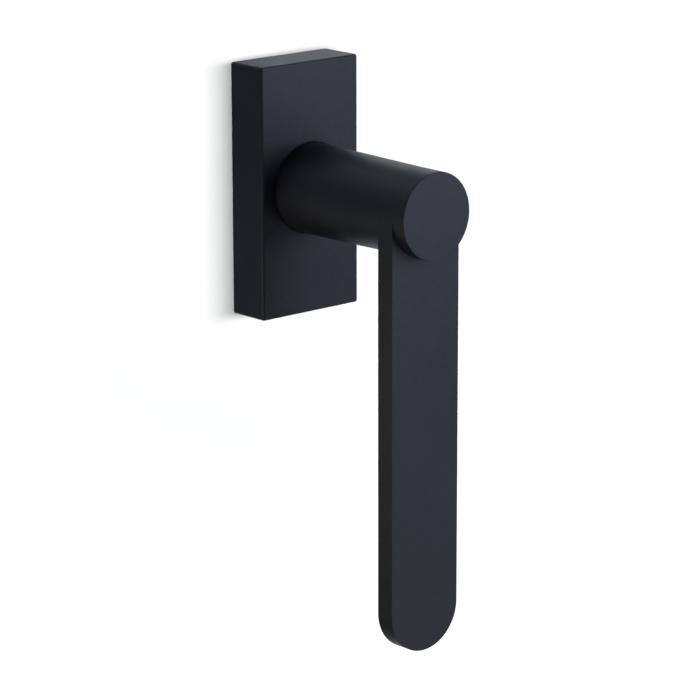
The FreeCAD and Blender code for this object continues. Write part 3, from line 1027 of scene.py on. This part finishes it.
    def build_spindle(self, finish: bpy.types.Material) -> bpy.types.Object:
        """Model the square bar with the rounded corners of drawn steel.

        Args:
            finish: Its material.

        Returns:
            The finished piece.
        """
        bm = copied("spindle")
        corners = [e for e in bm.edges
                   if e.calc_length() > self.bar_corner and e.calc_face_angle(0.0) > CORNER]
        soften(bm, corners, self.bar_edge, segments=3)
        return piece(bm, "spindle", Body.HANDLE, finish, "square_spindle")

    def dress_inner(self, make: Callable[[Finish], bpy.types.Material]) -> None:
        """Give the parts that turn inside the rose and the neck a finish.

        Args:
            make: Gives the material of a finish.
        """
        dress(["spindle_pin", "thrust_washer"], make(BRIGHT))
        dress(["detent_cam"], make(CAM))
        dress(["blade_locking_screw", "retaining_ring"], make(BLACKENED))


# ---------------------------------------------------------------- studio


@dataclass(frozen=True)
class Lamp:
    """One soft light, placed by its direction from the handle."""

    name: str
    azimuth: float
    elevation: float
    distance: float
    size: float
    watts: float
    tint: Colour = (0.94, 0.985, 1.075)


@dataclass
class Studio:
    """The camera, the lights, the pale wall and floor."""

    middle: Vector
    azimuth: float = -41.393
    elevation: float = 14.556
    roll: float = -0.126
    distance: float = 911.52 * MM
    aim: tuple[float, float, float] = (-1.809 * MM, -16.682 * MM, 1.069 * MM)
    lens: float = 172.06
    sensor: float = 36.0
    nearest: float = 10.0 * MM
    floor_drop: float = 300.0 * MM
    floor_size: float = 12.0
    floor_grey: float = 0.9
    wall_grey: float = 0.92
    wall_gap: float = 0.05 * MM
    wall_reach: float = 110.0 * MM
    wall_fade: float = 0.7
    wall_tilt: tuple[float, float] = (0.55, 0.70)
    ambient: float = 0.035
    rear_glow: float = 0.2
    room_tint: Colour = (0.87, 1.0, 1.10)
    rear_span: tuple[float, float] = (0.4, 0.9)
    lamps: tuple[Lamp, ...] = (
        Lamp("key_front", 15.0, 0.0, 0.26, 0.2, 0.106, (0.90, 0.97, 1.12)),
        Lamp("key_right", 40.0, 25.0, 0.26, 0.2, 0.200, (0.85, 0.93, 1.21)),
        Lamp("under_right", 40.0, -35.0, 0.45, 0.35, 0.250, (0.93, 0.96, 1.10)),
        Lamp("right_rim", 120.0, 35.0, 0.45, 0.35, 0.400, (0.90, 1.01, 1.09)),
        Lamp("left_near", -88.0, -14.0, 0.1525, 0.12, 0.041, (1.12, 1.0, 0.96)),
        Lamp("left_rim", -110.0, 50.0, 0.45, 0.35, 0.095, (0.86, 1.00, 1.16)),
        Lamp("rear_top", -160.0, 62.0, 1.3, 0.9, 1.71, (0.87, 0.99, 1.13)),
        Lamp("rear_under", 160.0, -35.0, 1.3, 0.9, 1.00, (0.89, 1.01, 1.10)),
        Lamp("rear_fill", 150.0, -15.0, 1.3, 1.5, 3.6, (1.0, 1.0, 1.0)),
    )
    strip: tuple[float, float] = (1.175, 0.22)
    strip_watts: float = 11.5
    strip_place: tuple[float, float, float] = (0.1675, -0.9, 0.042)

    @staticmethod
    def direction(azimuth: float, elevation: float) -> Vector:
        """Return the unit vector from the handle towards an azimuth and elevation."""
        a, e = math.radians(azimuth), math.radians(elevation)
        return Vector((math.sin(a) * math.cos(e), -math.cos(a) * math.cos(e), math.sin(e)))

    def place_camera(self) -> None:
        """Stand the camera to the left of the handle and a little above it."""
        back = self.direction(self.azimuth, self.elevation)
        right = Vector((0, 0, 1)).cross(back).normalized()
        up = back.cross(right)
        turn = math.radians(self.roll)
        level = right * math.cos(turn) + up * math.sin(turn)
        upright = up * math.cos(turn) - right * math.sin(turn)
        data = bpy.data.cameras.new("studio_camera")
        data.lens = self.lens
        data.sensor_width = self.sensor
        data.clip_start = self.nearest
        camera = placed("studio_camera", data)
        eye = self.middle + Vector(self.aim) + back * self.distance
        turned_axes = Matrix((level, upright, back)).transposed().to_4x4()
        camera.matrix_world = Matrix.Translation(eye) @ turned_axes
        bpy.context.scene.camera = camera

    @staticmethod
    def _area_light(name: str, shape: str, watts: float) -> bpy.types.Object:
        """Add an area light that the camera doesn't see.

        Args:
            name: Its name.
            shape: Its outline's type name.
            watts: Its power.

        Returns:
            The light's object.
        """
        light = bpy.data.lights.new(name, "AREA")
        light.shape = shape
        light.energy = watts
        obj = placed(name, light)
        obj.visible_camera = False
        LOG.info("%s: %.2f W", name, watts)
        return obj

    def _hang(self, lamp: Lamp) -> bpy.types.Object:
        """Place one soft light, turned to face the handle.

        Args:
            lamp: Where it hangs and how strong it is.

        Returns:
            The light's object.
        """
        obj = self._area_light(lamp.name, "DISK", lamp.watts)
        obj.data.size = lamp.size
        obj.data.color = lamp.tint
        toward = self.direction(lamp.azimuth, lamp.elevation)
        obj.location = self.middle + toward * lamp.distance
        obj.rotation_euler = toward.to_track_quat("Z", "Y").to_euler()
        return obj

    def hang_lamps(self, wall: bpy.types.Object, rose: bpy.types.Object) -> None:
        """Hang the lights round the handle, and a wide strip that washes the wall alone.

        Args:
            wall: The backdrop, which only the strip lights.
            rose: The cover, which casts the strip's soft shadow.
        """
        washed, shading, all_but_wall = (
            bpy.data.collections.new(name) for name in ("washed", "shading", "not_the_wall")
        )
        washed.objects.link(wall)
        shading.objects.link(rose)
        all_but_wall.objects.link(wall)
        all_but_wall.collection_objects[0].light_linking.link_state = "EXCLUDE"
        for lamp in self.lamps:
            self._hang(lamp).light_linking.receiver_collection = all_but_wall
        strip = self._area_light("wall_strip", "RECTANGLE", self.strip_watts)
        strip.data.size, strip.data.size_y = self.strip
        strip.location = self.strip_place
        strip.rotation_euler = (math.radians(90), 0, 0)
        strip.light_linking.receiver_collection = washed
        strip.light_linking.blocker_collection = shading

    def fill_room(self) -> None:
        """Light the room faintly, more from behind the handle, and let the camera see it white."""
        world = bpy.data.worlds.new("studio_room")
        world.use_nodes = True
        board = NodeBoard(world.node_tree)
        depth = board.add("ShaderNodeSeparateXYZ", {
            0: board.add("ShaderNodeTexCoord").outputs["Generated"],
        }).outputs[1]
        glow = board.span(depth, *self.rear_span, self.ambient, self.rear_glow)
        room = board.add("ShaderNodeBackground", {
            "Color": (*self.room_tint, 1), "Strength": glow,
        })
        seen = board.add("ShaderNodeBackground", {"Color": (1, 1, 1, 1), "Strength": 1.0})
        camera_ray = board.add("ShaderNodeLightPath").outputs["Is Camera Ray"]
        both = board.add("ShaderNodeMixShader", {
            0: camera_ray, 1: room.outputs[0], 2: seen.outputs[0],
        })
        board.add("ShaderNodeOutputWorld", {"Surface": both.outputs[0]})
        bpy.context.scene.world = world

    def _stage_plane(self, name: str, place: Matrix, size: float,
                     material: bpy.types.Material) -> bpy.types.Object:
        """Lay one square of the stage, which only the camera sees.

        Args:
            name: Its name.
            place: Where its centre is and how it is turned.
            size: The length of its side.
            material: Its material.

        Returns:
            The new object.
        """
        bm = bmesh.new()
        bmesh.ops.create_grid(bm, x_segments=1, y_segments=1, size=size / 2, matrix=place)
        mesh = mesh_of(bm, name)
        mesh.materials.append(material)
        obj = placed(name, mesh)
        obj.visible_diffuse = obj.visible_glossy = obj.visible_shadow = False
        return obj

    def build_stage(self) -> bpy.types.Object:
        """Stand the wall behind the rose and lay the floor below the handle.

        The wall fades out with distance, and from behind or edge-on, as if it weren't there.

        Returns:
            The wall.
        """
        wall, board = new_material("pale_wall")
        paint = board.add("ShaderNodeBsdfDiffuse", {"Color": (*[self.wall_grey] * 3, 1)})
        where = board.add("ShaderNodeTexCoord").outputs["Object"]
        reach = board.add("ShaderNodeVectorMath", {0: where}, operation="LENGTH").outputs["Value"]
        away = board.span(reach, self.wall_fade * self.wall_reach, self.wall_reach)
        behind = board.add("ShaderNodeNewGeometry").outputs["Backfacing"]
        tilt = board.add("ShaderNodeLayerWeight").outputs["Facing"]
        edge_on = board.span(tilt, *self.wall_tilt)
        unseen = board.math("MAXIMUM", board.math("MAXIMUM", away, behind), edge_on)
        clear = board.add("ShaderNodeBsdfTransparent")
        both = board.add("ShaderNodeMixShader", {
            0: unseen, 1: paint.outputs[0], 2: clear.outputs[0],
        })
        board.add("ShaderNodeOutputMaterial", {"Surface": both.outputs[0]})
        upright = Matrix.Translation((0, self.wall_gap, 0)) @ Matrix.Rotation(
            math.radians(90), 4, "X")
        backdrop = self._stage_plane("wall", upright, 2 * self.wall_reach, wall)
        floor, board = new_material("pale_floor")
        shader = board.add("ShaderNodeBsdfPrincipled", {
            "Base Color": (*[self.floor_grey] * 3, 1), "Roughness": 0.9,
            "Emission Color": (1, 1, 1, 1), "Emission Strength": 1.0,
        })
        board.add("ShaderNodeOutputMaterial", {"Surface": shader.outputs[0]})
        drop = Matrix.Translation((0, 0, self.middle.z - self.floor_drop))
        self._stage_plane("floor", drop, self.floor_size, floor)
        return backdrop


def main() -> None:
    """Build the handle, dress it and set up the studio."""
    logging.basicConfig(level=logging.INFO, format="%(message)s")
    effects = Effects()
    made: dict[str, bpy.types.Material] = {}

    def make(finish: Finish) -> bpy.types.Material:
        """Build a finish's material, once.

        Args:
            finish: The finish.

        Returns:
            Its material.
        """
        if finish.name not in made:
            made[finish.name] = finish.make(effects)
        return made[finish.name]

    studio = Studio(middle=(CAD_BOX[0] + CAD_BOX[1]) / 2)
    studio.place_camera()
    rose = Rose(*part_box("rose_cover"))
    cover = rose.build_cover(make(COAT))
    rose.build_base(make(CASTING))
    rose.build_plate(make(SHEET))
    rose.build_screws(make(PLATED))
    rose.dress_inner(make)
    lever = Lever(*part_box("lever_neck"), *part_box("lever_blade"))
    lever.build_neck(make(COAT))
    lever.build_blade(make(COAT))
    lever.build_spindle(make(PLATED))
    lever.dress_inner(make)
    studio.fill_room()
    studio.hang_lamps(studio.build_stage(), cover)
    scene = bpy.context.scene
    scene.view_settings.view_transform = "Standard"
    scene.view_settings.look = "None"
    scene.render.film_transparent = False


if __name__ == "__main__":
    main()
